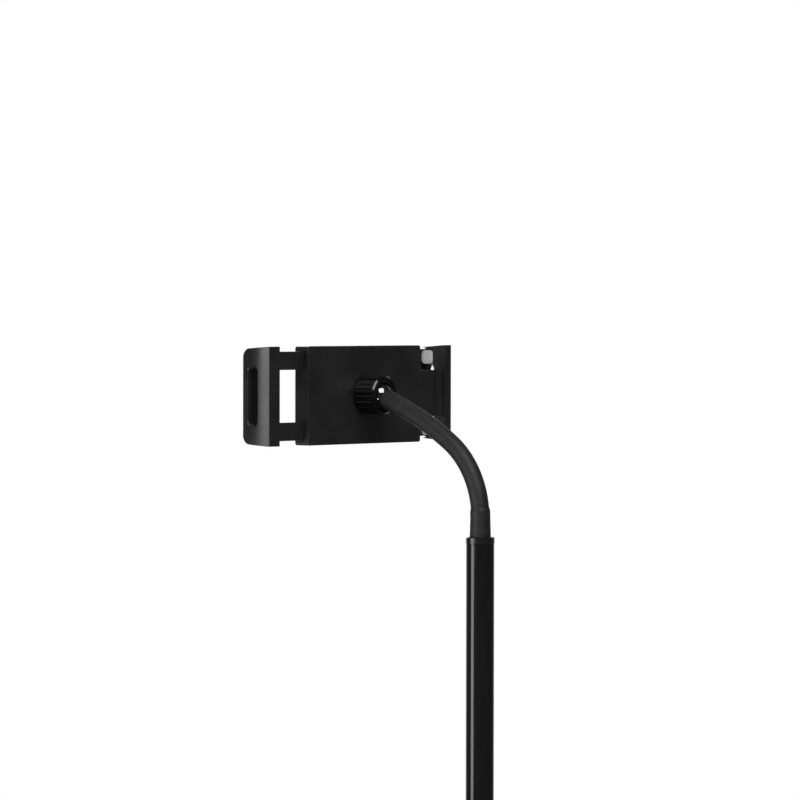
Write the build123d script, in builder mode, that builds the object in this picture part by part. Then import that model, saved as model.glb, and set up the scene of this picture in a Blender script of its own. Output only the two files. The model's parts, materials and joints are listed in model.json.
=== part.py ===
from build123d import *
import os
from math import acos, cos, pi, radians, sin, sqrt, tan

os.makedirs("parts", exist_ok=True)

# A tablet holder on a floor stand: a spring clamp head on a ball joint, a short bendable neck,
# a pole in two telescoping tubes with a twist lock, and a round weighted base.
# Millimetres. +Z is up, the origin is on the pole's axis at floor level, and the device's
# screen faces -Y. Inside the head, depth is counted from the back of the held device
# towards the neck, and heights are counted from the centre of the ball.

# Fits between pieces
turn_play = 0.05        # radial, round pieces that turn or slide in each other
seat_play = 0.1         # round pieces that are fixed in a seat
rail_play = 0.3         # round each clamp rail in its mouth
face_play = 0.2         # between flat faces that slide past each other
lead_in = 1             # chamfer where a round piece enters a tube
cut_margin = 1          # how far a cut reaches past what it cuts

# Base
base_radius = 130
base_pad_inset = 4      # from the shell's edge to the pad's
base_pad_thickness = 2
base_weight_inset = 8   # from the shell's edge to the weight's
base_weight_thickness = 10
base_weight_edge = 1.5
base_shell_wall = 1.6
base_shell_edge_height = 9
base_shell_rise = 24
base_shell_clearance = 1
base_rim_width = 6
base_rim_rise = 5
base_rim_round = 3
base_crown_radius = 62
base_crown_rise = 10
foot_radius = 16
foot_height = 15
foot_spigot_length = 40
hub_wall = 4
bolt_radius = 5
bolt_length = 32
bolt_head_radius = 8.5
bolt_head_height = 3.6
washer_radius = 10.5
washer_thickness = 1.5
washer_play = 0.5
washer_recess = 0.4
bolt_end_gap = 2
foot_edge = 1

# Pole
pole_top_height = 880
upper_pole_radius = 9.55
upper_pole_wall = 1.2
upper_pole_length = 620
lower_pole_radius = 12.5
lower_pole_wall = 1.4
lower_pole_top_height = 500
bush_flange_height = 12
bush_spigot_length = 18
cap_rim_height = 4.6
cap_rim_overhang = 0.15
cap_plug_length = 26
cap_lower_edge = 0.3
cap_upper_edge = 0.5
lock_sleeve_length = 20
lock_flange_height = 3
lock_collet_height = 14
lock_collet_wall = 2.5
lock_slit_width = 1.4
lock_slit_root = 3      # how far the slits stay from the collet's foot
lock_ring_radius = 16.5
lock_ring_skirt = 14
lock_ring_top_wall = 3
lock_ring_top_edge = 2
lock_mouth_play = 0.2
lock_grip_count = 24
lock_grip_radius = 1.3
lock_grip_start = 3
lock_grip_end = 5

# Neck
neck_radius = 6.2
neck_core_radius = 3.5
neck_rise = 12.9        # straight, upwards from the pole's top
neck_low_radius = 61    # bend radius of the lower arc
neck_mid_slope = 35     # degrees above level where the lower arc ends
neck_high_radius = 215  # bend radius of the upper arc
neck_head_slope = 22.5  # degrees above level where the neck meets the ball's stem
neck_plug_length = 20
neck_link_count = 5
neck_bend_limit = 25    # degrees that one link may turn on the next
lower_sleeve_height = 19.3
lower_sleeve_foot_wall = 0.95
lower_sleeve_wall = 0.6
lower_sleeve_tip = 0.4
lower_sleeve_tip_length = 2

# Ball joint
ball_radius = 8.5
stem_length = 23
stem_radius = 4
stem_seat_length = 15   # how far from the ball's centre the neck's end sits
ferrule_radius = 6.8
ferrule_tip_radius = 6.5
ferrule_tip_length = 2
ferrule_start = 6
ferrule_end = 24
ferrule_chamfer = 0.6
ball_pad_thickness = 0.65
ball_liner_thickness = 0.65
ball_pad_reach = 50     # degrees round the ball from its inner pole
ball_liner_mouth = 3.2
socket_mouth = 4.2
socket_radius = 11.55
socket_tip_radius = 9.75
socket_flange_radius = 14.5
socket_slit_count = 6
socket_slit_width = 1.2
socket_slit_depth = 9
nut_radius = 13.2
nut_length = 16.9
nut_mouth_radius = 10.4
nut_standoff = 0.9
nut_chamfer = 0.5
nut_front_chamfer = 1
nut_flute_count = 22
nut_flute_radius = 1.3
nut_flute_depth = 0.6
nut_band = 1.6

# Clamp head housing
ball_depth = 29.9
housing_width = 119
holder_height = 67.3
back_depth = 16.8
seam_depth = 5.5
front_depth = 3.4
housing_wall = 2
housing_corner = 1.6
housing_edge = 0.7
cover_bevel = 1.5       # on the front cover's edges
front_pad_width = 92
front_pad_height = 44
front_pad_thickness = 2.8
front_pad_corner = 5
boss_radius = 3.2
screw_radius = 1.15
screw_head_radius = 2.8
screw_head_height = 1.5
screw_length = 8
screw_end_gap = 1
axle_boss_wall = 2
narrow_boss_x = 51
narrow_boss_height = 13

# Rails and jaws
rail_back_depth = 12.7
rail_thickness = 3
wide_rail_height = 32.4
twin_rail_height = 12.4
twin_rail_offset = 23.95
rail_tail = 20          # how far each rail reaches past the head's centre
jaw_reach = 96.3        # from the head's centre to a jaw's outer back edge
jaw_back_depth = 14.4
jaw_front_depth = -10.5
jaw_height = 67.3
jaw_front_height = 63.6
jaw_front_corner = 8
jaw_wall = 3
jaw_crown = 2.2
jaw_front_inset = 0.5
lip_reach = 13.8
lip_thickness = 3
twin_flange_reach = 10.5
wide_flange_reach = 7.1
flange_thickness = 10.9  # the back flange is a deep block that holds the rails
rim_reach = 7.1
rim_thickness = 2
slot_length = 41
slot_width = 9
slot_rim = 0.8
jaw_travel_in = 22      # how far each jaw closes from where it is drawn
jaw_travel_out = 25     # and how far it opens
rail_edge = 0.4
rail_groove_width = 8
rail_groove_depth = 1.3
pad_thickness = 3.8
pad_height = 9.4
pad_play = 0.4          # from a jaw pad to the lip and to the flange
pad_corner = 3
jaw_edge = 0.6
lip_edge = 1.2
jaw_back_edge = 0.8

# Gear and springs inside the head
gear_module = 0.8
gear_teeth = 14
gear_addendum = 0.64
gear_dedendum = 0.8
gear_backlash = 0.15
gear_thickness = 3.2
pressure_angle = 20
axle_radius = 2
axle_seat = 1.1
rack_back = 3.1
rack_spare = 4          # length of rack left past the pinion at each end of the travel
rack_seat_edge = 0.5
rack_tab_width = 8
twin_tab_x = 14
wide_tab_x = 22
wide_tab_reach = 4.4
rack_screw_radius = 0.9
rack_screw_head_radius = 1.5
rack_screw_head_height = 1.2
rack_screw_end = 0.7    # how far the screw's end stays from the rail's back
spring_radius = 1.7
spring_wire = 0.6
spring_depth = 7.5
spring_hook_length = 4
spring_post_radius = 1
fixed_post_x = 44
moving_post_x = 29
wide_spring_height = -13
spring_hook_turn = 300  # degrees
tooth_sink = 0.2        # how far a pinion tooth reaches into the root circle

# Worked out: the neck's centre line, from the pole's top to the centre of the ball.
# Distances along it are counted from the pole's top.
low_arc_length = neck_low_radius * radians(90 - neck_mid_slope)
high_arc_length = neck_high_radius * radians(neck_mid_slope - neck_head_slope)
low_arc_end = neck_rise + low_arc_length
high_arc_end = low_arc_end + high_arc_length
neck_length = high_arc_end + stem_length


def neck_state(distance):
    """Place (y, z) and slope in degrees of the neck's centre line at a distance along it."""
    if distance <= neck_rise:
        return 0, pole_top_height + distance, 90
    slope = max(90 - (distance - neck_rise) / radians(neck_low_radius), neck_mid_slope)
    y = -neck_low_radius * (1 - sin(radians(slope)))
    z = pole_top_height + neck_rise + neck_low_radius * cos(radians(slope))
    if distance <= low_arc_end:
        return y, z, slope
    slope = max(neck_mid_slope - (distance - low_arc_end) / radians(neck_high_radius), neck_head_slope)
    y -= neck_high_radius * (sin(radians(neck_mid_slope)) - sin(radians(slope)))
    z += neck_high_radius * (cos(radians(slope)) - cos(radians(neck_mid_slope)))
    if distance > high_arc_end:
        y -= (distance - high_arc_end) * cos(radians(slope))
        z += (distance - high_arc_end) * sin(radians(slope))
    return y, z, slope


def neck_point(distance):
    y, z, slope = neck_state(distance)
    return Vector(0, y, z)


def neck_plane(distance):
    """Plane across the neck, facing along it towards the ball."""
    y, z, slope = neck_state(distance)
    return Plane((0, y, z), x_dir=(1, 0, 0), z_dir=(0, -cos(radians(slope)), sin(radians(slope))))


def neck_path(start, end):
    """Centre line of the neck between two distances."""
    changes = [change for change in (neck_rise, low_arc_end, high_arc_end) if start < change < end]
    stops = [start] + changes + [end]
    with BuildLine() as path:
        for low, high in zip(stops, stops[1:]):
            if high <= neck_rise or low >= high_arc_end:
                Line(neck_point(low), neck_point(high))
            else:
                ThreePointArc(neck_point(low), neck_point((low + high) / 2), neck_point(high))
    return path.wire()


def neck_run(start, end, radius, mode=Mode.ADD):
    """Round bar along the neck between two distances."""
    with BuildSketch(neck_plane(start)) as section:
        Circle(radius)
    sweep(section.sketch, path=neck_path(start, end), mode=mode)


# Worked out: the ball, the head's depth planes and its turning axis
ball_centre = neck_point(neck_length)
ball_y = ball_centre.Y
ball_z = ball_centre.Z
device_y = ball_y - ball_depth
stem_direction = Vector(0, cos(radians(neck_head_slope)), -sin(radians(neck_head_slope)))
stem_side = Plane(ball_centre, x_dir=stem_direction, z_dir=(1, 0, 0))
head_side = Plane((0, device_y, ball_z), x_dir=(0, 1, 0), z_dir=(1, 0, 0))


def face(depth):
    """Plane of the head at a depth. Its x is +X, its y is up, and it faces the device."""
    return Plane((0, device_y + depth, ball_z), x_dir=(1, 0, 0), z_dir=(0, -1, 0))


def turn(plane, points, mode=Mode.ADD):
    """Turn a closed outline of (distance along, radius) points about a plane's x axis."""
    with BuildSketch(plane) as outline:
        with BuildLine():
            Polyline(*points, close=True)
        make_face()
    revolve(outline.sketch, axis=Axis(plane.origin, plane.x_dir), mode=mode)


def plate(back, front, width, height, x=0, y=0, corner=0, mode=Mode.ADD):
    """Block of the head between two depths, centred at x and y."""
    with BuildSketch(face(back)) as outline:
        with Locations((x, y)):
            if corner:
                RectangleRounded(width, height, corner)
            else:
                Rectangle(width, height)
    extrude(outline.sketch, amount=back - front, mode=mode)


def pin(back, front, radius, x=0, y=0, mode=Mode.ADD):
    """Round pin or hole of the head between two depths."""
    with BuildSketch(face(back)) as outline:
        with Locations((x, y)):
            Circle(radius)
    extrude(outline.sketch, amount=back - front, mode=mode)


upright = Plane.XZ      # half plane of the vertical turned pieces: x is the radius, y is the height


def spin(points, mode=Mode.ADD):
    """Turn a closed outline of (radius, height) points about the pole's axis."""
    with BuildSketch(upright) as outline:
        with BuildLine():
            Polyline(*points, close=True)
        make_face()
    revolve(outline.sketch, axis=Axis.Z, mode=mode)


def write(piece, name):
    piece.part.label = name
    export_step(piece.part, f"parts/{name}.step")


# Base
base_pad_radius = base_radius - base_pad_inset
base_weight_radius = base_radius - base_weight_inset
weight_bottom = base_pad_thickness
weight_top = weight_bottom + base_weight_thickness
bolt_hole_radius = bolt_radius + seat_play
head_pocket_radius = washer_radius + washer_play
washer_top = weight_bottom + bolt_head_height + washer_thickness + washer_recess
foot_top = weight_top + foot_height
lower_bore = lower_pole_radius - lower_pole_wall
spigot_radius = lower_bore - seat_play / 2

with BuildPart() as base_pad:
    Cylinder(base_pad_radius, base_pad_thickness, align=(Align.CENTER, Align.CENTER, Align.MIN))
write(base_pad, "base_pad")

with BuildPart() as base_weight:
    spin([
        (bolt_hole_radius, weight_top),
        (bolt_hole_radius, washer_top),
        (head_pocket_radius, washer_top),
        (head_pocket_radius, weight_bottom),
        (base_weight_radius, weight_bottom),
        (base_weight_radius, weight_top),
    ])
    chamfer(base_weight.edges().group_by(Axis.Z)[-1].sort_by(SortBy.LENGTH)[-1],
            length=base_weight_edge)
write(base_weight, "base_weight")

# The shell's top slopes up from its rounded rim to the hub round the pole's foot.
hub_radius = foot_radius + seat_play + hub_wall
rim_top = base_shell_edge_height + base_rim_rise
crown_height = base_shell_edge_height + base_crown_rise
outer_rim = [
    (base_radius, base_shell_clearance),
    (base_radius, base_shell_edge_height),
    (base_radius - base_rim_width, rim_top),
    (base_crown_radius, crown_height),
    (hub_radius, base_shell_rise),
    (foot_radius + seat_play, base_shell_rise),
]
with BuildPart() as base_shell:
    with BuildSketch(upright):
        with BuildLine():
            outer = FilletPolyline(*outer_rim, radius=base_rim_round)
            Polyline(
                outer @ 1,
                (foot_radius + seat_play, weight_top),
                (hub_radius, weight_top),
                (hub_radius, base_shell_rise - 2 * base_shell_wall),
                (base_crown_radius, crown_height - base_shell_wall),
                (base_radius - base_rim_width, rim_top - base_shell_wall),
                (base_radius - base_shell_wall, base_shell_edge_height - base_shell_wall),
                (base_radius - base_shell_wall, base_shell_clearance),
                outer @ 0,
            )
        make_face()
    revolve(axis=Axis.Z)
write(base_shell, "base_shell")

with BuildPart() as pole_foot:
    spin([
        (0, foot_top + foot_spigot_length),
        (spigot_radius - lead_in, foot_top + foot_spigot_length),
        (spigot_radius, foot_top + foot_spigot_length - lead_in),
        (spigot_radius, foot_top),
        (foot_radius - foot_edge, foot_top),
        (foot_radius, foot_top - foot_edge),
        (foot_radius, weight_top),
        (bolt_radius, weight_top),
        (bolt_radius, weight_top + bolt_length),
        (0, weight_top + bolt_length),
    ])
write(pole_foot, "pole_foot")

with BuildPart() as base_washer:
    spin([
        (bolt_hole_radius, washer_top - washer_thickness),
        (washer_radius, washer_top - washer_thickness),
        (washer_radius, washer_top),
        (bolt_hole_radius, washer_top),
    ])
write(base_washer, "base_washer")

bolt_head_top = washer_top - washer_thickness
with BuildPart() as base_bolt:
    with BuildSketch(Plane.XY.offset(bolt_head_top - bolt_head_height)):
        RegularPolygon(bolt_head_radius, 6)
    extrude(amount=bolt_head_height)
    with BuildSketch(Plane.XY.offset(bolt_head_top)):
        Circle(bolt_radius - turn_play)
    extrude(amount=weight_top + bolt_length - bolt_head_top - bolt_end_gap)
write(base_bolt, "base_bolt")

# Lower pole and twist lock
upper_bore = upper_pole_radius - upper_pole_wall
lock_bore = upper_pole_radius + turn_play
collet_radius = lock_bore + lock_collet_wall
collet_bottom = lower_pole_top_height + lock_flange_height
collet_top = collet_bottom + lock_collet_height

with BuildPart() as lower_pole:
    spin([
        (lower_bore, foot_top),
        (lower_pole_radius, foot_top),
        (lower_pole_radius, lower_pole_top_height),
        (lower_bore, lower_pole_top_height),
    ])
write(lower_pole, "lower_pole")

with BuildPart() as lock_body:
    spin([
        (lock_bore, lower_pole_top_height - lock_sleeve_length),
        (spigot_radius, lower_pole_top_height - lock_sleeve_length),
        (spigot_radius, lower_pole_top_height),
        (lower_pole_radius, lower_pole_top_height),
        (lower_pole_radius, collet_bottom),
        (collet_radius, collet_bottom),
        (collet_radius, collet_top - lead_in),
        (collet_radius - lead_in, collet_top),
        (lock_bore, collet_top),
    ])
    with Locations((0, 0, collet_top)):
        for angle in (0, 90):
            Box(3 * collet_radius, lock_slit_width, 2 * (lock_collet_height - lock_slit_root),
                rotation=(0, 0, angle), mode=Mode.SUBTRACT)
write(lock_body, "lock_body")

ring_bottom = lower_pole_top_height - lock_ring_skirt
ring_top = collet_top + lock_ring_top_wall
with BuildPart() as lock_ring:
    spin([
        (lower_pole_radius + turn_play, ring_bottom),
        (lock_ring_radius - lead_in, ring_bottom),
        (lock_ring_radius, ring_bottom + lead_in),
        (lock_ring_radius, ring_top - lock_ring_top_edge),
        (lock_ring_radius - lock_ring_top_edge, ring_top),
        (upper_pole_radius + lock_mouth_play, ring_top),
        (upper_pole_radius + lock_mouth_play, collet_top + face_play),
        (collet_radius + turn_play, collet_top + face_play),
        (collet_radius + turn_play, collet_bottom + face_play),
        (lower_pole_radius + turn_play, collet_bottom + face_play),
    ])
    with BuildSketch(Plane.XY.offset(ring_bottom + lock_grip_start)):
        with PolarLocations(lock_ring_radius + lock_grip_radius / 2, lock_grip_count):
            Circle(lock_grip_radius)
    extrude(amount=ring_top - ring_bottom - lock_grip_start - lock_grip_end, mode=Mode.SUBTRACT)
write(lock_ring, "lock_ring")

# Upper pole, its guide bush and its cap
pole_shoulder = pole_top_height - cap_rim_height
pole_bottom = pole_shoulder - upper_pole_length

with BuildPart() as upper_pole:
    spin([
        (upper_bore, pole_bottom),
        (upper_pole_radius, pole_bottom),
        (upper_pole_radius, pole_shoulder),
        (upper_bore, pole_shoulder),
    ])
write(upper_pole, "upper_pole")

bush_radius = lower_bore - turn_play
with BuildPart() as guide_bush:
    spin([
        (0, pole_bottom - bush_flange_height),
        (bush_radius - lead_in, pole_bottom - bush_flange_height),
        (bush_radius, pole_bottom - bush_flange_height + lead_in),
        (bush_radius, pole_bottom - face_play),
        (upper_bore - turn_play, pole_bottom - face_play),
        (upper_bore - turn_play, pole_bottom + bush_spigot_length - lead_in),
        (upper_bore - turn_play - lead_in, pole_bottom + bush_spigot_length),
        (0, pole_bottom + bush_spigot_length),
    ])
write(guide_bush, "guide_bush")

cap_bore = neck_radius + turn_play
cap_radius = upper_pole_radius + cap_rim_overhang
with BuildPart() as pole_cap:
    spin([
        (cap_bore, pole_shoulder - cap_plug_length + cap_rim_height),
        (upper_bore - turn_play, pole_shoulder - cap_plug_length + cap_rim_height),
        (upper_bore - turn_play, pole_shoulder),
        (cap_radius - cap_lower_edge, pole_shoulder),
        (cap_radius, pole_shoulder + cap_lower_edge),
        (cap_radius, pole_top_height - cap_upper_edge),
        (cap_radius - cap_upper_edge, pole_top_height),
        (cap_bore, pole_top_height),
    ])
write(pole_cap, "pole_cap")

# Neck: covered links that turn on each other like balls in cups, each round a wound core
sleeve_top = lower_sleeve_height
ferrule_lip = neck_length - ferrule_end
link_pitch = (ferrule_lip - sleeve_top) / (neck_link_count - 1)
hinge_distances = [sleeve_top + (index + 0.5) * link_pitch for index in range(neck_link_count - 1)]
link_rim = neck_radius * sin(radians(neck_bend_limit)) + seat_play
core_gap = neck_core_radius * tan(radians(neck_bend_limit / 2)) + 2 * seat_play
link_starts = [-neck_plug_length] + hinge_distances
link_ends = hinge_distances + [neck_length - stem_seat_length]
last_link = neck_link_count - 1

# Each ball end is flared inside, so that the next link's core can lean in it.
flare_slope = tan(radians(neck_bend_limit))
flare_waist = neck_core_radius / cos(radians(neck_bend_limit)) + seat_play

for index in range(neck_link_count):
    cup_end = index > 0
    ball_end = index < last_link
    link_start = link_starts[index] + (link_rim if cup_end else 0)
    core_start = link_starts[index] + (core_gap if cup_end else 0)
    core_end = link_ends[index] - (core_gap if ball_end else 0)
    bore_end = link_ends[index] + (neck_radius if ball_end else 0)
    with BuildPart() as neck_link:
        neck_run(link_start, link_ends[index], neck_radius)
        if ball_end:
            with Locations(neck_plane(link_ends[index]).location):
                Sphere(neck_radius, arc_size1=0, arc_size2=90, align=(Align.CENTER, Align.CENTER, Align.MIN))
        if cup_end:
            with Locations(neck_plane(link_starts[index]).location):
                Sphere(neck_radius + turn_play, mode=Mode.SUBTRACT)
        neck_run(link_starts[index], bore_end, neck_core_radius + seat_play, mode=Mode.SUBTRACT)
        if ball_end:
            with Locations(neck_plane(link_ends[index]).offset(-core_gap).location):
                Cone(
                    flare_waist - core_gap * flare_slope,
                    flare_waist + neck_radius * flare_slope,
                    core_gap + neck_radius,
                    align=(Align.CENTER, Align.CENTER, Align.MIN),
                    mode=Mode.SUBTRACT,
                )
    write(neck_link, f"neck_link_{index + 1}")
    with BuildPart() as neck_core:
        neck_run(core_start, core_end, neck_core_radius)
    write(neck_core, f"neck_core_{index + 1}")

with BuildPart() as lower_sleeve:
    with Locations(neck_plane(0).location):
        Cone(
            neck_radius + lower_sleeve_foot_wall,
            neck_radius + lower_sleeve_wall,
            neck_rise,
            align=(Align.CENTER, Align.CENTER, Align.MIN),
        )
    neck_run(neck_rise, sleeve_top, neck_radius + lower_sleeve_wall)
    sleeve_end = lower_sleeve.faces().sort_by(Axis.Z)[-1]
    chamfer(sleeve_end.edges(), length=lower_sleeve_tip, length2=lower_sleeve_tip_length, reference=sleeve_end)
    neck_run(-cut_margin, sleeve_top + cut_margin, neck_radius + turn_play, mode=Mode.SUBTRACT)
write(lower_sleeve, "lower_sleeve")

# Ball, its stem and the ferrule that joins it to the neck
ferrule_bore = neck_radius + turn_play
ferrule_tip_start = ferrule_end - ferrule_tip_length
with BuildPart() as ball_stud:
    with Locations(ball_centre):
        Sphere(ball_radius)
    turn(stem_side, [(0, 0), (stem_seat_length - seat_play, 0),
                     (stem_seat_length - seat_play, stem_radius), (0, stem_radius)])
write(ball_stud, "ball_stud")

with BuildPart() as upper_ferrule:
    turn(stem_side, [
        (ferrule_start, stem_radius + seat_play),
        (ferrule_start, ferrule_radius - ferrule_chamfer),
        (ferrule_start + ferrule_chamfer, ferrule_radius),
        (ferrule_tip_start, ferrule_tip_radius),
        (ferrule_end, ferrule_bore),
        (stem_seat_length, ferrule_bore),
        (stem_seat_length, stem_radius + seat_play),
    ])
    with Locations(ball_centre):
        Sphere(ball_radius + turn_play, mode=Mode.SUBTRACT)
write(upper_ferrule, "upper_ferrule")

# Friction cap and liner: two thin shells between the ball and its socket
pad_inner = ball_radius + turn_play
pad_outer = pad_inner + ball_pad_thickness
liner_inner = pad_outer + turn_play
liner_outer = liner_inner + ball_liner_thickness
cavity_radius = liner_outer + turn_play
pad_edge = -pad_outer * cos(radians(ball_pad_reach))

with BuildPart() as ball_pad:
    with Locations(stem_side.location):
        Sphere(pad_outer)
        Sphere(pad_inner, mode=Mode.SUBTRACT)
    split(bisect_by=Plane(ball_centre + stem_direction * pad_edge, z_dir=stem_direction), keep=Keep.BOTTOM)
write(ball_pad, "ball_pad")

with BuildPart() as ball_liner:
    with Locations(ball_centre):
        Sphere(liner_outer)
        Sphere(liner_inner, mode=Mode.SUBTRACT)
    split(bisect_by=face(ball_depth + ball_liner_mouth), keep=Keep.TOP)
write(ball_liner, "ball_liner")

# Socket: a flange behind the housing's back wall, a threaded boss and split fingers
wall_inside = back_depth - housing_wall
flange_front = rail_back_depth + face_play
socket_tip = ball_depth + socket_mouth
nut_bore = socket_radius + turn_play
axle_bore = axle_radius + turn_play

with BuildPart() as ball_socket:
    turn(head_side, [
        (flange_front, 0),
        (flange_front, socket_flange_radius),
        (wall_inside, socket_flange_radius),
        (wall_inside, socket_radius),
        (ball_depth, socket_radius),
        (socket_tip, socket_tip_radius),
        (socket_tip, 0),
    ])
    with Locations(ball_centre):
        Sphere(cavity_radius, mode=Mode.SUBTRACT)
    pin(flange_front + axle_seat, flange_front, axle_bore, mode=Mode.SUBTRACT)
    with Locations(Plane((0, device_y + socket_tip, ball_z), x_dir=(1, 0, 0), z_dir=(0, 1, 0)).location):
        with PolarLocations(0, socket_slit_count // 2, angular_range=180):
            Box(3 * socket_radius, socket_slit_width, 2 * socket_slit_depth, mode=Mode.SUBTRACT)
write(ball_socket, "ball_socket")

# Collar nut: fluted, with a smooth band at each end and a flat front
nut_back = back_depth + nut_standoff
nut_front = nut_back + nut_length
taper_slope = (socket_radius - socket_tip_radius) / (socket_tip - ball_depth)
taper_end = socket_tip + face_play
with BuildPart() as collar_nut:
    turn(head_side, [
        (nut_back, nut_bore),
        (nut_back, nut_radius - nut_chamfer),
        (nut_back + nut_chamfer, nut_radius),
        (nut_front - nut_front_chamfer, nut_radius),
        (nut_front, nut_radius - nut_front_chamfer),
        (nut_front, nut_mouth_radius),
        (taper_end, nut_mouth_radius),
        (taper_end, nut_bore - taper_slope * (taper_end - ball_depth) + turn_play),
        (ball_depth, nut_bore + turn_play),
        (ball_depth, nut_bore),
    ])
    with BuildSketch(face(nut_front - nut_band)) as flutes:
        with PolarLocations(nut_radius - nut_flute_depth + nut_flute_radius, nut_flute_count):
            Circle(nut_flute_radius)
    extrude(flutes.sketch, amount=nut_length - 2 * nut_band, mode=Mode.SUBTRACT)
write(collar_nut, "collar_nut")

# Housing: back shell with rail mouths and screw bosses, front cover with posts for the springs
rail_front_depth = rail_back_depth - rail_thickness
end_wall_x = (housing_width - housing_wall) / 2
mouth_back = rail_back_depth + rail_play
mouth_front = rail_front_depth - rail_play
screw_spots = [
    (-narrow_boss_x, twin_rail_offset),
    (-narrow_boss_x, -twin_rail_offset),
    (narrow_boss_x, narrow_boss_height),
    (narrow_boss_x, -narrow_boss_height),
]
screw_seat = front_depth + screw_head_height
screw_tip = screw_seat + screw_length

with BuildPart() as housing_back:
    plate(back_depth, seam_depth, housing_width, holder_height, corner=housing_corner)
    fillet(housing_back.faces().sort_by(Axis.Y)[-1].edges(), radius=housing_edge)
    plate(wall_inside, seam_depth, housing_width - 2 * housing_wall, holder_height - 2 * housing_wall,
          mode=Mode.SUBTRACT)
    for height in (twin_rail_offset, -twin_rail_offset):
        plate(mouth_back, mouth_front, 2 * housing_wall, twin_rail_height + 2 * rail_play,
              x=end_wall_x, y=height, mode=Mode.SUBTRACT)
    plate(mouth_back, mouth_front, 2 * housing_wall, wide_rail_height + 2 * rail_play,
          x=-end_wall_x, mode=Mode.SUBTRACT)
    pin(back_depth, wall_inside, socket_radius + seat_play, mode=Mode.SUBTRACT)
    for x, height in screw_spots:
        pin(wall_inside, seam_depth, boss_radius, x=x, y=height)
        pin(screw_tip + screw_end_gap, seam_depth, screw_radius + turn_play,
            x=x, y=height, mode=Mode.SUBTRACT)
write(housing_back, "housing_back")

post_tip = rail_front_depth - face_play
cover_boss_radius = axle_radius + axle_boss_wall
pinion_front = seam_depth + 3 * face_play
with BuildPart() as housing_front:
    plate(seam_depth, front_depth, housing_width, holder_height, corner=housing_corner)
    chamfer(housing_front.faces().sort_by(Axis.Y)[0].edges(), length=cover_bevel)
    pin(pinion_front - face_play, seam_depth, cover_boss_radius)
    pin(pinion_front - face_play, seam_depth - axle_seat, axle_bore, mode=Mode.SUBTRACT)
    pin(post_tip, seam_depth, spring_post_radius, x=-fixed_post_x, y=-twin_rail_offset)
    pin(post_tip, seam_depth, spring_post_radius, x=fixed_post_x, y=wide_spring_height)
    for x, height in screw_spots:
        pin(seam_depth, front_depth, screw_radius + seat_play, x=x, y=height, mode=Mode.SUBTRACT)
        pin(screw_seat, front_depth, screw_head_radius + seat_play, x=x, y=height, mode=Mode.SUBTRACT)
write(housing_front, "housing_front")

with BuildPart() as cover_screws:
    for x, height in screw_spots:
        pin(screw_seat, front_depth, screw_head_radius, x=x, y=height)
        pin(screw_tip, screw_seat, screw_radius, x=x, y=height)
        plate(front_depth + screw_head_height / 2, front_depth, screw_head_radius, screw_head_height / 3,
              x=x, y=height, mode=Mode.SUBTRACT)
        plate(front_depth + screw_head_height / 2, front_depth, screw_head_height / 3, screw_head_radius,
              x=x, y=height, mode=Mode.SUBTRACT)
write(cover_screws, "cover_screws")

with BuildPart() as front_pad:
    plate(front_depth, front_depth - front_pad_thickness, front_pad_width, front_pad_height,
          corner=front_pad_corner)
    fillet(front_pad.faces().sort_by(Axis.Y)[0].edges(), radius=housing_edge)
write(front_pad, "front_pad")


# Jaws. side is +1 for the twin-rail jaw and -1 for the wide-rail jaw.
jaw_inner = jaw_reach - jaw_wall
profile_margin = 0.05
jaw_mid_depth = (jaw_back_depth + jaw_front_depth) / 2
lip_back_depth = jaw_front_depth + lip_thickness
flange_front_depth = jaw_back_depth - flange_thickness
pad_mid_depth = (lip_back_depth + flange_front_depth) / 2
pad_width = flange_front_depth - lip_back_depth - 2 * pad_play
rail_mid_depth = rail_back_depth - rail_thickness / 2
front_x = jaw_reach - jaw_front_inset


def corner(section, x, y):
    return section.vertices().sort_by_distance((x, y, 0))[0]


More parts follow.
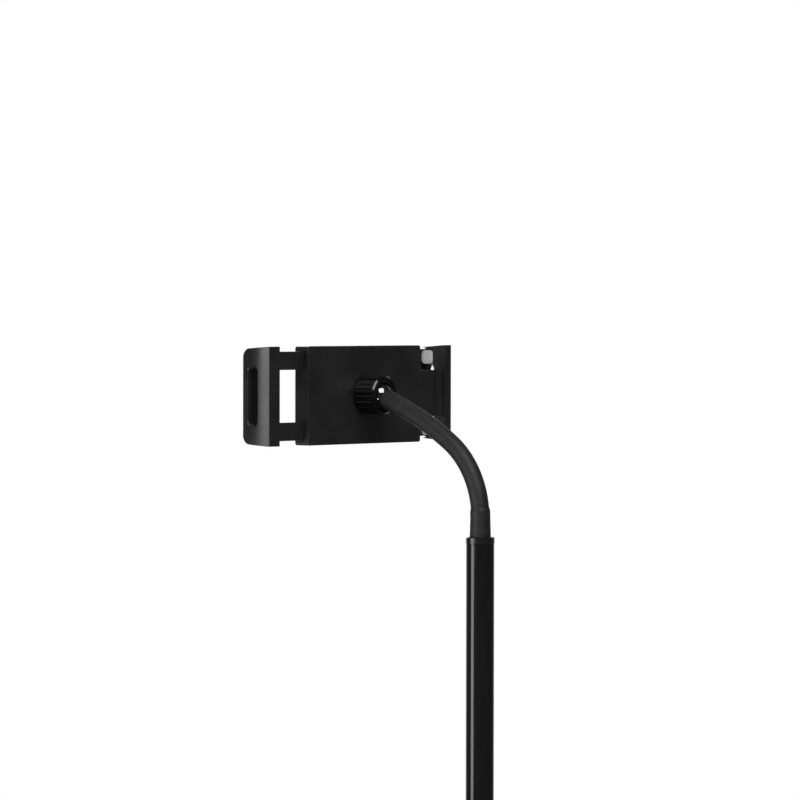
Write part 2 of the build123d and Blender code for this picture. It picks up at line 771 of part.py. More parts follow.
def jaw_shell(side, flange_reach):
    """Side plate, front lip, back flange, rims and slot of one jaw."""
    level = Plane((0, device_y, ball_z), x_dir=(side, 0, 0), z_dir=(0, 0, side))
    flange_x = jaw_reach - flange_reach
    with BuildSketch(level) as section:
        with BuildLine():
            ThreePointArc(
                (jaw_reach, jaw_back_depth),
                (jaw_reach - jaw_front_inset / 2 + jaw_crown, jaw_mid_depth),
                (front_x, jaw_front_depth),
            )
            Polyline(
                (front_x, jaw_front_depth),
                (jaw_reach - lip_reach, jaw_front_depth),
                (jaw_reach - lip_reach, lip_back_depth),
                (jaw_inner, lip_back_depth),
                (jaw_inner, flange_front_depth),
                (flange_x, flange_front_depth),
                (flange_x, jaw_back_depth),
                (jaw_reach, jaw_back_depth),
            )
        make_face()
        fillet(corner(section, front_x, jaw_front_depth), radius=lip_edge)
        fillet(corner(section, jaw_reach, jaw_back_depth), radius=jaw_back_edge)
        fillet(corner(section, jaw_reach - lip_reach, jaw_front_depth), radius=jaw_edge)
        fillet(corner(section, jaw_reach - lip_reach, lip_back_depth), radius=jaw_edge)
        fillet(corner(section, flange_x, jaw_back_depth), radius=jaw_edge)
    extrude(section.sketch, amount=jaw_height / 2, both=True)
    for end in (1, -1):
        plate(flange_front_depth, lip_back_depth, rim_reach - jaw_wall / 2, rim_thickness,
              x=side * (jaw_reach - (rim_reach + jaw_wall / 2) / 2), y=end * (jaw_height - rim_thickness) / 2)
    profile_back = jaw_back_depth + profile_margin
    profile_front = jaw_front_depth - profile_margin
    with BuildSketch(head_side) as profile:
        with BuildLine():
            Polyline(
                (profile_back, jaw_height / 2),
                (profile_front, jaw_front_height / 2),
                (profile_front, -jaw_front_height / 2),
                (profile_back, -jaw_height / 2),
                close=True,
            )
        make_face()
        for end in (1, -1):
            fillet(corner(profile, profile_front, end * jaw_front_height / 2), radius=jaw_front_corner)
            fillet(corner(profile, profile_back, end * jaw_height / 2), radius=jaw_edge)
    extrude(profile.sketch, amount=side * 2 * jaw_reach, mode=Mode.INTERSECT)
    with BuildSketch(head_side) as slot:
        SlotOverall(slot_length, slot_width, rotation=90)
    extrude(slot.sketch, amount=side * 2 * jaw_reach, mode=Mode.SUBTRACT)
    slot_edges = edges(Select.LAST).filter_by(Axis.X, reverse=True)
    outer_edges = slot_edges.filter_by(lambda edge: side * edge.center().X > jaw_reach - jaw_wall / 2)
    chamfer(outer_edges, length=slot_rim)


def jaw_rail(side, height, rail_height):
    """One flat rail from the jaw's plate to past the head's centre."""
    with BuildSketch(head_side.offset(-side * rail_tail)) as section:
        with Locations((rail_mid_depth, height)):
            RectangleRounded(rail_thickness, rail_height, rail_edge)
    extrude(section.sketch, amount=side * (rail_tail + jaw_inner + jaw_wall / 2))


def jaw_pads(side):
    """Two soft blocks, above and below the slot."""
    height = (slot_length + pad_height) / 2
    with BuildSketch(head_side.offset(side * jaw_inner)) as pads:
        with Locations((pad_mid_depth, height), (pad_mid_depth, -height)):
            RectangleRounded(pad_width, pad_height, pad_corner)
    extrude(pads.sketch, amount=-side * pad_thickness)


def screw_hole(x, height):
    """Blind hole in a rail's front for the rack's screw."""
    pin(rail_back_depth - rack_screw_end + face_play, rail_front_depth, rack_screw_radius + turn_play,
        x=x, y=height, mode=Mode.SUBTRACT)


rack_front = seam_depth + 2 * face_play
rack_root_height = gear_module * gear_teeth / 2 + gear_dedendum
wide_screw_height = -rack_root_height - wide_tab_reach / 2
with BuildPart() as twin_rail_jaw:
    jaw_shell(1, twin_flange_reach)
    jaw_rail(1, twin_rail_offset, twin_rail_height)
    jaw_rail(1, -twin_rail_offset, twin_rail_height)
    pin(rail_mid_depth, rack_front, spring_post_radius, x=moving_post_x, y=-twin_rail_offset)
    screw_hole(twin_tab_x, twin_rail_offset)
write(twin_rail_jaw, "twin_rail_jaw")

# The wide rail is forked round the pinion's axle, and has a shallow groove beside its jaw's flange.
groove_radius = (rail_groove_width**2 / 4 + rail_groove_depth**2) / (2 * rail_groove_depth)
groove_centre_depth = rail_back_depth + groove_radius - rail_groove_depth
groove_half_width = sqrt(groove_radius**2 - (groove_centre_depth - jaw_back_depth)**2)
groove_x = jaw_reach - wide_flange_reach - groove_half_width - face_play
fork_root = jaw_travel_in + axle_radius + rail_play
fork_end = rail_tail + 2 * axle_radius
with BuildPart() as wide_rail_jaw:
    jaw_shell(-1, wide_flange_reach)
    jaw_rail(-1, 0, wide_rail_height)
    with Locations((-groove_x, device_y + groove_centre_depth, ball_z)):
        Cylinder(groove_radius, wide_rail_height + cut_margin, mode=Mode.SUBTRACT)
    plate(rail_back_depth, rail_front_depth, fork_root + fork_end, 2 * (axle_radius + rail_play),
          x=(fork_end - fork_root) / 2, corner=axle_radius, mode=Mode.SUBTRACT)
    pin(rail_mid_depth, rack_front, spring_post_radius, x=-moving_post_x, y=wide_spring_height)
    screw_hole(-wide_tab_x, wide_screw_height)
write(wide_rail_jaw, "wide_rail_jaw")

with BuildPart() as twin_jaw_pads:
    jaw_pads(1)
write(twin_jaw_pads, "twin_jaw_pads")

with BuildPart() as wide_jaw_pads:
    jaw_pads(-1)
write(wide_jaw_pads, "wide_jaw_pads")

# Pinion and racks: the pinion turns between the two racks, so both jaws move alike.
pitch_radius = gear_module * gear_teeth / 2
tooth_pitch = pi * gear_module
base_circle = pitch_radius * cos(radians(pressure_angle))
tip_radius = pitch_radius + gear_addendum
root_radius = pitch_radius - gear_dedendum
tooth_half_width = tooth_pitch / 4 - gear_backlash / 2
pinion_back = pinion_front + gear_thickness
rack_back_depth = rail_front_depth - face_play
rack_inner_end = jaw_travel_out + rack_spare
rack_outer_end = jaw_travel_in + rack_spare
flank_slope = tan(radians(pressure_angle))


def involute(radius):
    """Angle in radians from an involute's start to where it meets a radius."""
    if radius <= base_circle:
        return 0
    ratio = base_circle / radius
    return sqrt(1 - ratio**2) / ratio - acos(ratio)


def tooth_edge(radius):
    """Half of a pinion tooth's angle at a radius."""
    return tooth_half_width / pitch_radius + involute(pitch_radius) - involute(radius)


flank_steps = 5
flank_radii = [root_radius - tooth_sink] + [
    base_circle + (tip_radius - base_circle) * step / flank_steps for step in range(flank_steps + 1)
]
tooth_side = [(radius * cos(tooth_edge(radius)), -radius * sin(tooth_edge(radius))) for radius in flank_radii]
tooth_outline = tooth_side + [(x, -y) for x, y in reversed(tooth_side)]

with BuildPart() as pinion:
    with BuildSketch(face(pinion_back)):
        Circle(root_radius)
        with PolarLocations(0, gear_teeth, start_angle=90):
            Polygon(*tooth_outline, align=None)
        Circle(axle_bore, mode=Mode.SUBTRACT)
    extrude(amount=gear_thickness)
write(pinion, "pinion")

with BuildPart() as pinion_axle:
    pin(flange_front + axle_seat - face_play, seam_depth - axle_seat + face_play, axle_radius)
write(pinion_axle, "pinion_axle")


def rack(side, back, tab_x, tab_reach):
    """Toothed bar on one side of the pinion, with a tab that lies on its rail."""
    facing = Plane((0, device_y + back, ball_z), x_dir=(side, 0, 0), z_dir=(0, -1, 0))
    tip_height = pitch_radius - gear_addendum
    root_half = tooth_half_width + gear_dedendum * flank_slope
    tip_half = tooth_half_width - gear_addendum * flank_slope
    inner_count = int(rack_inner_end / tooth_pitch)
    outer_count = int(rack_outer_end / tooth_pitch)
    with BuildSketch(facing) as outline:
        with Locations(((rack_outer_end - rack_inner_end) / 2, rack_root_height + rack_back / 2)):
            Rectangle(rack_inner_end + rack_outer_end, rack_back)
        with Locations(*[((index + 0.5) * tooth_pitch, 0) for index in range(-inner_count, outer_count)]):
            Polygon(
                (-tip_half, tip_height),
                (tip_half, tip_height),
                (root_half, rack_root_height),
                (-root_half, rack_root_height),
                align=None,
            )
        with Locations((tab_x, rack_root_height + tab_reach / 2)):
            Rectangle(rack_tab_width, tab_reach)
    extrude(outline.sketch, amount=back - rack_front)


def screw_seat_holes(x, height):
    """Counterbored hole through a rack's tab."""
    pin(rail_front_depth, rack_front, rack_screw_radius + turn_play, x=x, y=height, mode=Mode.SUBTRACT)
    pin(rack_front + rack_screw_head_height, rack_front, rack_screw_head_radius + turn_play,
        x=x, y=height, mode=Mode.SUBTRACT)


def rack_screw(x, height):
    pin(rack_front + rack_screw_head_height, rack_front, rack_screw_head_radius, x=x, y=height)
    pin(rail_back_depth - rack_screw_end, rack_front, rack_screw_radius, x=x, y=height)


twin_seat_height = twin_rail_height - 2 * rack_seat_edge
twin_tab_reach = twin_rail_offset + twin_seat_height / 2 - rack_root_height
with BuildPart() as twin_rack:
    rack(1, rack_back_depth, twin_tab_x, twin_tab_reach)
    plate(rail_front_depth, rack_front, rack_tab_width, twin_seat_height, x=twin_tab_x, y=twin_rail_offset)
    screw_seat_holes(twin_tab_x, twin_rail_offset)
write(twin_rack, "twin_rack")

with BuildPart() as wide_rack:
    rack(-1, rail_front_depth, wide_tab_x, wide_tab_reach)
    screw_seat_holes(-wide_tab_x, wide_screw_height)
write(wide_rack, "wide_rack")

with BuildPart() as twin_rack_screw:
    rack_screw(twin_tab_x, twin_rail_offset)
write(twin_rack_screw, "twin_rack_screw")

with BuildPart() as wide_rack_screw:
    rack_screw(-wide_tab_x, wide_screw_height)
write(wide_rack_screw, "wide_rack_screw")


# Tension springs: a close-wound barrel with a hook round a post at each end
def spring(fixed_x, moving_x, height):
    side = 1 if moving_x > fixed_x else -1
    hook_radius = spring_post_radius + turn_play + spring_wire / 2
    barrel_start = fixed_x + side * spring_hook_length
    barrel_end = moving_x - side * spring_hook_length
    with BuildSketch(head_side.offset(barrel_start)) as barrel:
        with Locations((spring_depth, height)):
            Circle(spring_radius)
            Circle(spring_radius - spring_wire, mode=Mode.SUBTRACT)
    extrude(barrel.sketch, amount=barrel_end - barrel_start)
    for post_x, turn_side in ((fixed_x, side), (moving_x, -side)):
        stem_x = post_x + turn_side * (spring_hook_length + spring_wire)
        with BuildLine(face(spring_depth)) as hook:
            Line((stem_x, height + hook_radius), (post_x, height + hook_radius))
            CenterArc((post_x, height), hook_radius, 90, turn_side * spring_hook_turn)
        wire = hook.wire()
        with BuildSketch(Plane(wire @ 0, z_dir=wire % 0)) as section:
            Circle(spring_wire / 2)
        sweep(section.sketch, path=wire)


with BuildPart() as twin_spring:
    spring(-fixed_post_x, moving_post_x, -twin_rail_offset)
write(twin_spring, "twin_spring")

with BuildPart() as wide_spring:
    spring(fixed_post_x, -moving_post_x, wide_spring_height)
write(wide_spring, "wide_spring")
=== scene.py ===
# %% [markdown]
# A tablet holder on a floor stand. Two sliding jaws hook round the device's edges, a box behind
# it holds the gears and springs that keep them centred, and a ball joint, a short bendable neck,
# a pole in two tubes and a heavy round base carry it. Its solids come from the part's own frame.
# Here they get their finishes, and the neck gets the unbroken soft cover that the real one has.

# %% Load the frame
import json
from math import cos, pi, radians, sin

import bmesh
import bpy
from mathutils import Euler, Matrix, Vector


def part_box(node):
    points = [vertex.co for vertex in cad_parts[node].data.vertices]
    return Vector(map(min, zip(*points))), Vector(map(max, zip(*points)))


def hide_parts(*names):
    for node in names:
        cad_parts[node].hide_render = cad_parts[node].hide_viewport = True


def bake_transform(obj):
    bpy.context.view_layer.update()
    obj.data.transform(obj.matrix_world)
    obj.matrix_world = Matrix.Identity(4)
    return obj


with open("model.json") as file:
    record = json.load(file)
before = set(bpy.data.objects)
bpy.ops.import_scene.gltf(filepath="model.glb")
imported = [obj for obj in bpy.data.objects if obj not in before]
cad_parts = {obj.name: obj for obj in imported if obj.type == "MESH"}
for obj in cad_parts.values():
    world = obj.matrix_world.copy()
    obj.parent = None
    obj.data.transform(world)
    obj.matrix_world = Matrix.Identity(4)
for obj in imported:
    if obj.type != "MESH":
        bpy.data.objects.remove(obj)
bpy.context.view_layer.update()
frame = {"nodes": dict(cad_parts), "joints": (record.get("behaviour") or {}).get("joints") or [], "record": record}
joints = {joint["name"]: joint for joint in frame["joints"]}
ball_centre = Vector(joints["ball_tilt"]["pos_m"])
print("solids:", len(frame["nodes"]), "ball centre:", [round(value, 4) for value in ball_centre])


def add_object(name, data):
    """Make an object of some data and link it."""
    made = bpy.data.objects.new(name, data)
    bpy.context.collection.objects.link(made)
    return made


# %% [markdown]
# The camera stands about three metres behind the holder with a long lens, a little above the
# head and turned towards the neck's side. The angles are the camera's own: how far it looks
# down from level, how it turns about the vertical, and its small roll.

# %% Camera
camera_place = Vector((2.2749, 1.8249, 1.0350))
camera_look_down = radians(1.237)
camera_turn = radians(129.8)
camera_roll = radians(0.1)
camera_lens = 195.3

camera_data = bpy.data.cameras.new("camera")
camera_data.lens = camera_lens
camera = add_object("camera", camera_data)
camera.matrix_world = (
    Matrix.Translation(camera_place)
    @ Matrix.Rotation(camera_turn, 4, "Z")
    @ Matrix.Rotation(pi / 2 - camera_look_down, 4, "X")
    @ Matrix.Rotation(camera_roll, 4, "Z")
)
bpy.context.scene.camera = camera
bpy.context.scene.view_settings.view_transform = "Standard"
print("camera to ball:", round((camera_place - ball_centre).length, 3), "m")

# %% [markdown]
# Black plastic is only as bright as what it reflects, so the light is the material's other half.
# Shader maths is easier to read as sums than as boxes and wires, so a small class wraps an
# output socket and turns sums and products into Math nodes. A second class adds other nodes.


# %% Shader helpers
class Signal:
    """An output socket. Arithmetic on it adds Math nodes."""

    def __init__(self, tree, socket):
        self.tree = tree
        self.socket = socket

    def math(self, operation, *others):
        node = self.tree.nodes.new("ShaderNodeMath")
        node.operation = operation
        for slot, value in zip(node.inputs, (self, *others)):
            plug(self.tree, slot, value)
        return Signal(self.tree, node.outputs[0])

    def __add__(self, other):
        return self.math("ADD", other)

    def __rsub__(self, other):
        return self.math("MULTIPLY", -1).math("ADD", other)

    def __mul__(self, other):
        return self.math("MULTIPLY", other)

    def ramp(self, low, high):
        """0 below low, 1 above high and smooth between."""
        node = self.tree.nodes.new("ShaderNodeMapRange")
        node.interpolation_type = "SMOOTHSTEP"
        plug(self.tree, node.inputs["Value"], self)
        node.inputs["From Min"].default_value = low
        node.inputs["From Max"].default_value = high
        return Signal(self.tree, node.outputs["Result"])

    def between(self, low, high):
        """Rescale a signal from 0 to 1, so that it runs from low to high."""
        return self * (high - low) + low


def plug(tree, slot, value):
    """Link a signal to a socket, or set the socket's own value."""
    if isinstance(value, Signal):
        tree.links.new(value.socket, slot)
    elif isinstance(value, tuple) and len(value) == 3 and slot.type == "RGBA":
        slot.default_value = (*value, 1)
    else:
        slot.default_value = value


class Finish:
    """A material, or the world, while its nodes are added."""

    # A Mix node has one set of sockets for each kind of value. These are the colours' ones.
    mix_factor, mix_dark, mix_light, mix_result = 0, 6, 7, 2

    def __init__(self, owner):
        owner.use_nodes = True
        self.owner = owner
        self.tree = owner.node_tree
        self.tree.nodes.clear()

    def node(self, kind, settings=(), inputs=(), out=0):
        """Add a node, set its settings first, then its sockets, and return an output."""
        made = self.tree.nodes.new("ShaderNode" + kind)
        for name, value in dict(settings).items():
            setattr(made, name, value)
        for name, value in dict(inputs).items():
            plug(self.tree, made.inputs[name], value)
        return Signal(self.tree, made.outputs[out]) if made.outputs else None

    def place(self):
        """Object coordinates, in metres in the part's own frame."""
        return self.node("TexCoord", out="Object")

    def axes(self, vector):
        """The three parts of a vector."""
        parts = self.tree.nodes.new("ShaderNodeSeparateXYZ")
        plug(self.tree, parts.inputs[0], vector)
        return [Signal(self.tree, socket) for socket in parts.outputs]

    def noise(self, size, detail=3, stretch=(1, 1, 1), rough=0.5):
        """Noise whose features are about size metres wide, longer along a stretched axis."""
        where = self.node("Mapping", {}, {
            "Vector": self.place(), "Scale": tuple(1 / length for length in stretch),
        })
        return self.node("TexNoise", {}, {
            "Vector": where, "Scale": 1 / size, "Detail": detail, "Roughness": rough,
        })

    def tint(self, factor, dark, light):
        """Blend two colours."""
        made = self.tree.nodes.new("ShaderNodeMix")
        made.data_type = "RGBA"
        plug(self.tree, made.inputs[self.mix_factor], factor)
        plug(self.tree, made.inputs[self.mix_dark], dark)
        plug(self.tree, made.inputs[self.mix_light], light)
        return Signal(self.tree, made.outputs[self.mix_result])

    def bump(self, height, depth, below=None):
        """Relief of a height from 0 to 1, depth metres deep."""
        inputs = {"Height": height, "Distance": depth, "Strength": 1.0}
        if below:
            inputs["Normal"] = below
        return self.node("Bump", {}, inputs)

    def surface(self, **sockets):
        """Close the material with a Principled shader. Underscores stand for spaces."""
        shader = self.node("BsdfPrincipled", {}, {
            name.replace("_", " "): value for name, value in sockets.items()
        })
        self.node("OutputMaterial", {}, {"Surface": shader})
        return self.owner


def finish_for(slot):
    return Finish(bpy.data.materials.new(slot))


# %% [markdown]
# The set is a pale round floor, a white world for the camera and five soft lamps. A black
# object shows the lamps as stripes and patches, so their places follow the highlights: a small
# box close to the pole draws the bright line down it, a box beside the jaw lights the back
# half of its curved face, a wide box above the camera gives the ball its patch and the collar
# its thin rims, and a short low strip gives the ball a second glint. A box on the screen's side
# lights the front. Glossy surfaces see a bright wall behind the object and a dim room before it,
# and not the floor, whose white would grey the ball's and the neck's undersides.

# %% Floor, world and lamps
floor_radius = 3.0
floor_sides = 96
floor_colour = (0.86, 0.86, 0.86)
floor_roughness = 0.9
room_level = 0.045      # what glossy surfaces see in front of the object
wall_level = 1.0        # and behind it
wall_edge = 0.55        # cosine to the camera's line of sight where the wall fades in
wall_full = 0.97        # and where it has its full brightness
floor_fill = 0.25       # soft light from all round, near the floor
ceiling_fill = 0.65     # and from above
fill_low = -0.3         # a direction's z part where the soft light starts to rise
fill_high = 1.0         # and where it has its full brightness
away_from_camera = (ball_centre - camera_place).normalized()

floor_mesh = bmesh.new()
bmesh.ops.create_circle(floor_mesh, cap_ends=True, segments=floor_sides, radius=floor_radius)
floor_data = bpy.data.meshes.new("floor")
floor_mesh.to_mesh(floor_data)
floor_mesh.free()
floor = add_object("floor", floor_data)
floor.visible_glossy = False
floor_finish = finish_for("floor").surface(Base_Color=floor_colour, Roughness=floor_roughness)
floor_data.materials.append(floor_finish)

world = bpy.data.worlds.new("studio")
bpy.context.scene.world = world
room = Finish(world)
direction = room.node("TexCoord", out="Generated")
facing = room.node("VectorMath", {"operation": "DOT_PRODUCT"}, {
    0: direction, 1: tuple(away_from_camera),
}, out="Value")
height = room.axes(direction)[2]
glossy_level = facing.ramp(wall_edge, wall_full).between(room_level, wall_level)
fill_level = height.ramp(fill_low, fill_high).between(floor_fill, ceiling_fill)
path = room.tree.nodes.new("ShaderNodeLightPath")
is_camera = Signal(room.tree, path.outputs["Is Camera Ray"])
is_glossy = Signal(room.tree, path.outputs["Is Glossy Ray"])
is_through = Signal(room.tree, path.outputs["Is Transmission Ray"])
is_white = is_camera.math("MAXIMUM", is_through)
seen = is_white + (1 - is_white) * (is_glossy * glossy_level + (1 - is_glossy) * fill_level)
background = room.node("Background", {}, {"Color": (1, 1, 1), "Strength": seen})
room.node("OutputWorld", {}, {"Surface": background})


def soft_box(name, target, azimuth, elevation, distance, width, height, watts):
    """Rectangular lamp that faces a target. Azimuth 0 is on +X and 90 on +Y."""
    turn, rise = radians(azimuth), radians(elevation)
    towards = Vector((cos(turn) * cos(rise), sin(turn) * cos(rise), sin(rise)))
    data = bpy.data.lights.new(name, "AREA")
    data.shape = "RECTANGLE"
    data.size = width
    data.size_y = height
    data.energy = watts
    lamp = add_object(name, data)
    lamp.location = target + towards * distance
    lamp.rotation_euler = towards.to_track_quat("Z", "Y").to_euler()
    lamp.visible_camera = False


pole_target = Vector((0, 0, 0.76))     # on the part of the pole in view
soft_box("jaw_box", ball_centre, azimuth=-12, elevation=4, distance=1.8,
         width=0.85, height=0.42, watts=8)
soft_box("pole_strip", pole_target, azimuth=-30, elevation=0, distance=0.45,
         width=0.24, height=0.24, watts=0.8)
soft_box("top_box", ball_centre, azimuth=56, elevation=45, distance=1.8,
         width=1.4, height=1.4, watts=34)
soft_box("low_strip", ball_centre, azimuth=18, elevation=-35, distance=1.2,
         width=0.06, height=0.25, watts=1.2)
soft_box("front_box", ball_centre, azimuth=-115, elevation=30, distance=2.2,
         width=1.4, height=1.4, watts=26)

# %% [markdown]
# The clamp's shells and jaws are injection-moulded black plastic. The mould is spark
# eroded, which leaves a fine matt grain, and hands polish it in soft patches. Two noises do
# that: a small one as relief and a large one in the roughness and, faintly, in the colour.


# %% Moulded plastic
def moulded_plastic():
    finish = finish_for("clamp_plastic")
    patches = finish.noise(0.03, detail=4)
    grain = finish.noise(0.00045, detail=2)
    return finish.surface(
        Base_Color=finish.tint(
            patches.ramp(0.3, 0.7),
            dark=(0.0085, 0.0085, 0.0088), light=(0.0125, 0.0125, 0.013),
        ),
        Roughness=patches.ramp(0.25, 0.75).between(0.27, 0.34),
        Normal=finish.bump(grain, depth=0.00003),
    )


# %% [markdown]
# The pole is steel tube with a glossy black coat. A sprayed coat is never quite flat: it has
# the shallow ripple called orange peel, and fine lengthwise rub marks from sliding the tubes.


# %% Pole coat
def pole_coat():
    finish = finish_for("pole_paint")
    peel = finish.noise(0.0022, detail=1)
    rubs = finish.noise(0.0006, detail=2, stretch=(1, 1, 60))
    return finish.surface(
        Base_Color=finish.tint(
            rubs.ramp(0.4, 0.8),
            dark=(0.005, 0.005, 0.0052), light=(0.008, 0.008, 0.0082),
        ),
        Roughness=rubs.ramp(0.45, 0.75).between(0.12, 0.17),
        Normal=finish.bump(peel, depth=0.000012),
    )


# %% [markdown]
# The cap and the twist lock are smoother mouldings with a satin shine, a little lighter than
# the pole. Their relief is only half as deep as the clamp's. The collar nut is moulded in a
# polished cavity: deep black and glossy, with only hair-fine handling marks.


# %% Trim plastic
def trim_plastic():
    finish = finish_for("trim_plastic")
    patches = finish.noise(0.012, detail=3)
    grain = finish.noise(0.0007, detail=2)
    return finish.surface(
        Base_Color=finish.tint(
            patches.ramp(0.3, 0.7),
            dark=(0.006, 0.006, 0.0063), light=(0.010, 0.010, 0.0104),
        ),
        Roughness=patches.ramp(0.3, 0.7).between(0.16, 0.24),
        Normal=finish.bump(grain, depth=0.000015),
    )


def collar_plastic():
    finish = finish_for("collar_plastic")
    marks = finish.noise(0.0005, detail=3, stretch=(1, 9, 1))
    return finish.surface(
        Base_Color=finish.tint(
            marks.ramp(0.4, 0.8),
            dark=(0.002, 0.002, 0.0022), light=(0.005, 0.005, 0.0052),
        ),
        Roughness=marks.ramp(0.4, 0.8).between(0.12, 0.20),
        Normal=finish.bump(marks, depth=0.000003),
    )


# %% [markdown]
# The ball is polished black with a clear, mirror-like shine. It turns in its socket, so it
# carries hair-fine rub marks that only show where a highlight crosses them.


# %% Ball polish
def ball_polish():
    finish = finish_for("ball_finish")
    rubs = finish.noise(0.0004, detail=3, stretch=(12, 1, 1))
    return finish.surface(
        Base_Color=(0.004, 0.004, 0.0045),
        IOR=2.2,
        Roughness=rubs.ramp(0.5, 0.8).between(0.07, 0.12),
        Coat_Weight=0.6,
        Coat_Roughness=0.04,
        Normal=finish.bump(rubs, depth=0.000002),
    )


# %% [markdown]
# The neck wears a soft black sleeve over a wound steel core. The sleeve is shrunk on, so the
# core's turns just show through it as faint rings. They follow the neck, not the room, so each
# cover piece carries its distance along the neck as an attribute that the finish reads.


# %% Neck cover finish
core_turn = 0.0021      # metres between the turns that show through


def neck_rubber(slot, ringed):
    finish = finish_for(slot)
    dust = finish.noise(0.006, detail=5, rough=0.65)
    skin = finish.noise(0.0006, detail=2)
    relief = None
    if ringed:
        along = finish.node("Attribute", {"attribute_name": "along"}, out="Fac")
        wave = (along * (2 * pi / core_turn)).math("SINE")
        rings = wave * 0.5 + 0.5
        relief = finish.bump(rings, depth=0.00003)
    return finish.surface(
        Base_Color=finish.tint(
            dust.ramp(0.4, 0.8),
            dark=(0.0075, 0.0075, 0.0077), light=(0.0115, 0.0115, 0.0118),
        ),
        Roughness=dust.ramp(0.3, 0.7).between(0.50, 0.62),
        Specular_IOR_Level=0.35,
        Normal=finish.bump(skin, depth=0.00002, below=relief),
    )


# %% [markdown]
# Pads are matt rubber with a pebbled skin. The jaws' pads are a softer, lighter grey rubber
# than the black pads behind the device and under the base.


# %% Rubber pads
def pad_rubber(slot, dark, light):
    finish = finish_for(slot)
    wear = finish.noise(0.01, detail=4)
    pebbles = finish.noise(0.0009, detail=1)
    return finish.surface(
        Base_Color=finish.tint(wear.ramp(0.3, 0.75), dark, light),
        Roughness=wear.ramp(0.3, 0.7).between(0.7, 0.8),
        Normal=finish.bump(pebbles.ramp(0.35, 0.65), depth=0.00006),
    )


# %% [markdown]
# The base is a pressed shell with a satin powder coat, which has a tight, even texture and
# carries a little dust in cloudy patches.


# %% Base coat
def base_coat():
    finish = finish_for("base_finish")
    texture = finish.noise(0.0011, detail=2)
    dust = finish.noise(0.02, detail=6, rough=0.7)
    return finish.surface(
        Base_Color=finish.tint(
            dust.ramp(0.45, 0.85),
            dark=(0.009, 0.009, 0.0095), light=(0.020, 0.0195, 0.019),
        ),
        Roughness=dust.ramp(0.3, 0.7).between(0.34, 0.48),
        Normal=finish.bump(texture, depth=0.00004),
    )


# %% [markdown]
# Screws, bolt, foot, springs and the neck's core are plain bright steel with turning marks.
# The base weight is a rough iron casting. Gears, racks and bearings are off-white plastic.


# %% Steel, iron and bearing plastic
def plain_steel():
    finish = finish_for("steel")
    marks = finish.noise(0.0005, detail=3, stretch=(1, 6, 1))
    return finish.surface(
        Base_Color=finish.tint(marks, dark=(0.34, 0.34, 0.35), light=(0.52, 0.52, 0.52)),
        Metallic=1.0,
        Roughness=marks.between(0.22, 0.42),
        Normal=finish.bump(marks, depth=0.00001),
    )


def cast_iron():
    finish = finish_for("iron")
    sand = finish.noise(0.0016, detail=5, rough=0.7)
    return finish.surface(
        Base_Color=finish.tint(sand, dark=(0.05, 0.05, 0.05), light=(0.14, 0.13, 0.125)),
        Metallic=0.6,
        Roughness=sand.between(0.5, 0.8),
        Normal=finish.bump(sand, depth=0.0002),
    )


def bearing_plastic():
    finish = finish_for("inner_plastic")
    cloud = finish.noise(0.004, detail=3)
    return finish.surface(
        Base_Color=finish.tint(cloud, dark=(0.70, 0.69, 0.65), light=(0.80, 0.79, 0.75)),
        Roughness=cloud.between(0.35, 0.50),
        Normal=finish.bump(cloud, depth=0.00001),
    )


# %% [markdown]
# Each solid knows its finish by the name of its slot, so one loop dresses them all.

# %% Dress the solids
finishes = {
    "clamp_plastic": moulded_plastic(),
    "pole_paint": pole_coat(),
    "trim_plastic": trim_plastic(),
    "ball_finish": ball_polish(),
    "collar_plastic": collar_plastic(),
    "neck_cover": neck_rubber("neck_cover", ringed=True),
    "sleeve_rubber": neck_rubber("sleeve_rubber", ringed=False),
    "pad_rubber": pad_rubber("pad_rubber", dark=(0.010, 0.010, 0.010), light=(0.018, 0.018, 0.018)),
    "jaw_pad": pad_rubber("jaw_pad", dark=(0.24, 0.24, 0.25), light=(0.34, 0.34, 0.35)),
    "base_finish": base_coat(),
    "steel": plain_steel(),
    "iron": cast_iron(),
    "inner_plastic": bearing_plastic(),
}
for part in frame["record"]["subparts"]:
    mesh = frame["nodes"][part["node"]].data
    mesh.materials.clear()
    mesh.materials.append(finishes[part["material_slot"]])
print("finishes:", len(finishes))

# %% [markdown]
# The solids bend at four hinges, like beads on a string. The tube's centre line is the neck's
# own: straight up, a tight arc, a wide arc and a straight end.

# %% The neck's centre line
neck_foot_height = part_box("pole_cap")[1].z
neck_rise = 0.0129
low_radius = 0.061
mid_slope = radians(35)
high_radius = 0.215
head_slope = radians(22.5)
stem_length = 0.023
low_end = neck_rise + low_radius * (pi / 2 - mid_slope)
high_end = low_end + high_radius * (mid_slope - head_slope)
neck_length = high_end + stem_length


def neck_point(distance):
    """Place and slope of the centre line at a distance from the pole's top."""
    if distance <= neck_rise:
        return Vector((0, 0, neck_foot_height + distance)), pi / 2
    slope = max(pi / 2 - (distance - neck_rise) / low_radius, mid_slope)
    y = -low_radius * (1 - sin(slope))
    z = neck_foot_height + neck_rise + low_radius * cos(slope)
    if distance > low_end:
        slope = max(mid_slope - (distance - low_end) / high_radius, head_slope)
        y -= high_radius * (sin(mid_slope) - sin(slope))
        z += high_radius * (cos(slope) - cos(mid_slope))
    if distance > high_end:
        y -= (distance - high_end) * cos(slope)
        z += (distance - high_end) * sin(slope)
    return Vector((0, y, z)), slope


end_error = (neck_point(neck_length)[0] - ball_centre).length
print("neck ends", round(end_error * 1000, 3), "mm from the ball's centre")

# %% [markdown]
# One ring of vertices is extruded along the centre line and turned to face along it at each
# step. A second, smaller tube inside closes the wall, and rings of faces join the two at both
# ends.

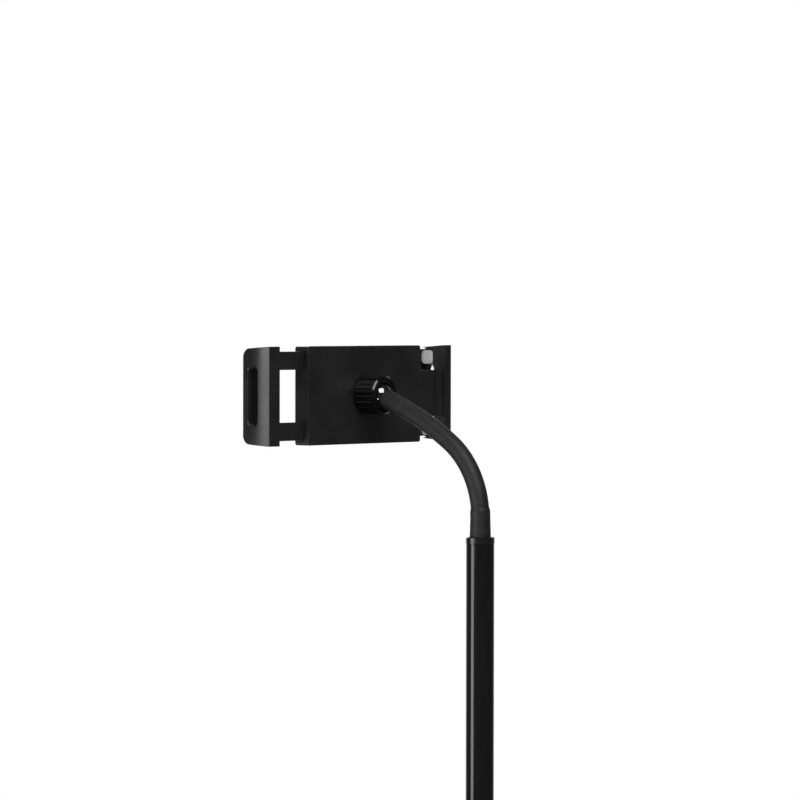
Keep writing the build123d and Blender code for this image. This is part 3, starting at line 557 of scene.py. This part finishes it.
# %% Neck cover pieces
cover_radius = 0.0062
cover_bore = 0.0046
cover_sides = 48
step_length = 0.0011
sleeve_length = 0.0193      # from the pole's top to where the lower sleeve ends
ferrule_length = 0.024      # from the ball's centre back to where the ferrule starts
plug_length = 0.020         # cover inside the cap
ferrule_overlap = 0.008     # cover inside the ferrule
rim_tolerance = 1e-7        # for finding the vertices of an end ring
sharp_angle = radians(40)


def smooth_object(name, mesh, finish):
    """Turn an edited mesh into an object with one finish and soft shading."""
    data = bpy.data.meshes.new(name)
    mesh.to_mesh(data)
    mesh.free()
    data.shade_smooth()
    data.set_sharp_from_angle(angle=sharp_angle)
    data.materials.append(finish)
    return add_object(name, data)


def cover_tube(name, start, end):
    """Closed tube wall along the neck between two distances."""
    steps = max(2, round((end - start) / step_length))
    mesh = bmesh.new()
    along = mesh.verts.layers.float.new("along")
    for radius in (cover_radius, cover_bore):
        circle = bmesh.ops.create_circle(mesh, cap_ends=False, segments=cover_sides, radius=radius)
        ring = circle["verts"]
        edges = list(dict.fromkeys(edge for vert in ring for edge in vert.link_edges))
        for index in range(steps + 1):
            distance = start + (end - start) * index / steps
            point, slope = neck_point(distance)
            place = Matrix.Translation(point) @ Euler((pi / 2 - slope, 0, 0)).to_matrix().to_4x4()
            if index:
                grown = bmesh.ops.extrude_edge_only(mesh, edges=edges)["geom"]
                ring = [item for item in grown if isinstance(item, bmesh.types.BMVert)]
                edges = [item for item in grown if isinstance(item, bmesh.types.BMEdge)]
                bmesh.ops.transform(mesh, matrix=place @ last_place.inverted(), verts=ring)
            else:
                bmesh.ops.transform(mesh, matrix=place, verts=ring)
            last_place = place
            for vert in ring:
                vert[along] = distance
    open_edges = [edge for edge in mesh.edges if edge.is_boundary]
    for target in (start, end):
        rims = [
            edge for edge in open_edges if abs(edge.verts[0][along] - target) < rim_tolerance
        ]
        bmesh.ops.bridge_loops(mesh, edges=rims)
    bmesh.ops.recalc_face_normals(mesh, faces=mesh.faces)
    cover = smooth_object(name, mesh, finishes["neck_cover"])
    return cover


neck_joints = ["neck_bend_low", "neck_sway_low", "neck_bend_high", "neck_sway_high"]
pitch = (neck_length - ferrule_length - sleeve_length) / len(neck_joints)
for index, name in enumerate(neck_joints):
    low = sleeve_length + index * pitch
    high = low + pitch
    first, last = index == 0, index == len(neck_joints) - 1
    start = -plug_length if first else low
    end = high + ferrule_overlap if last else high
    cover = cover_tube(f"neck_cover_{index + 1}", start, end)
    neck_point(low)[0]
    neck_point(high)[0]
    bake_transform(cover)
    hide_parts(f"neck_link_{index + 1}")
    if last:
        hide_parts(f"neck_link_{index + 2}")
    bend_mm = [round(distance * 1000, 1) for distance in (low, high)]
    print(cover.name, "bends between", bend_mm, "mm along the neck")

# %% [markdown]
# The two tension springs hook over a post in the housing and a post on a jaw's rail. A real one
# grows and shrinks as the jaws slide, while its solid stays rigid. Here a copy of each spring's
# mesh is welded into one surface with soft shading and takes the solid's place, at the solid's
# rest length.

# %% Welded spring copies
hook_reach = 0.005      # hook_reach = 0.005 # inset from each end of the spring's box
weld_distance = 1e-6    # vertices closer than this are one


def sliding_spring(node, moving_side):
    """Copy a spring's solid, weld it into one surface and put it in the solid's place."""
    mesh = bmesh.new()
    mesh.from_mesh(frame["nodes"][node].data)
    mesh.transform(frame["nodes"][node].matrix_world)
    bmesh.ops.remove_doubles(mesh, verts=mesh.verts, dist=weld_distance)
    coil = smooth_object(node + "_coil", mesh, finishes["steel"])
    low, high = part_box(node)
    inset = Vector((hook_reach, 0, 0))
    ends = [Vector(low) + inset, Vector(high) - inset]
    if moving_side < 0:
        ends.reverse()
    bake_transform(coil)
    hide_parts(node)
    print(coil.name, "vertices:", len(coil.data.vertices))


sliding_spring("twin_spring", moving_side=1)
sliding_spring("wide_spring", moving_side=-1)
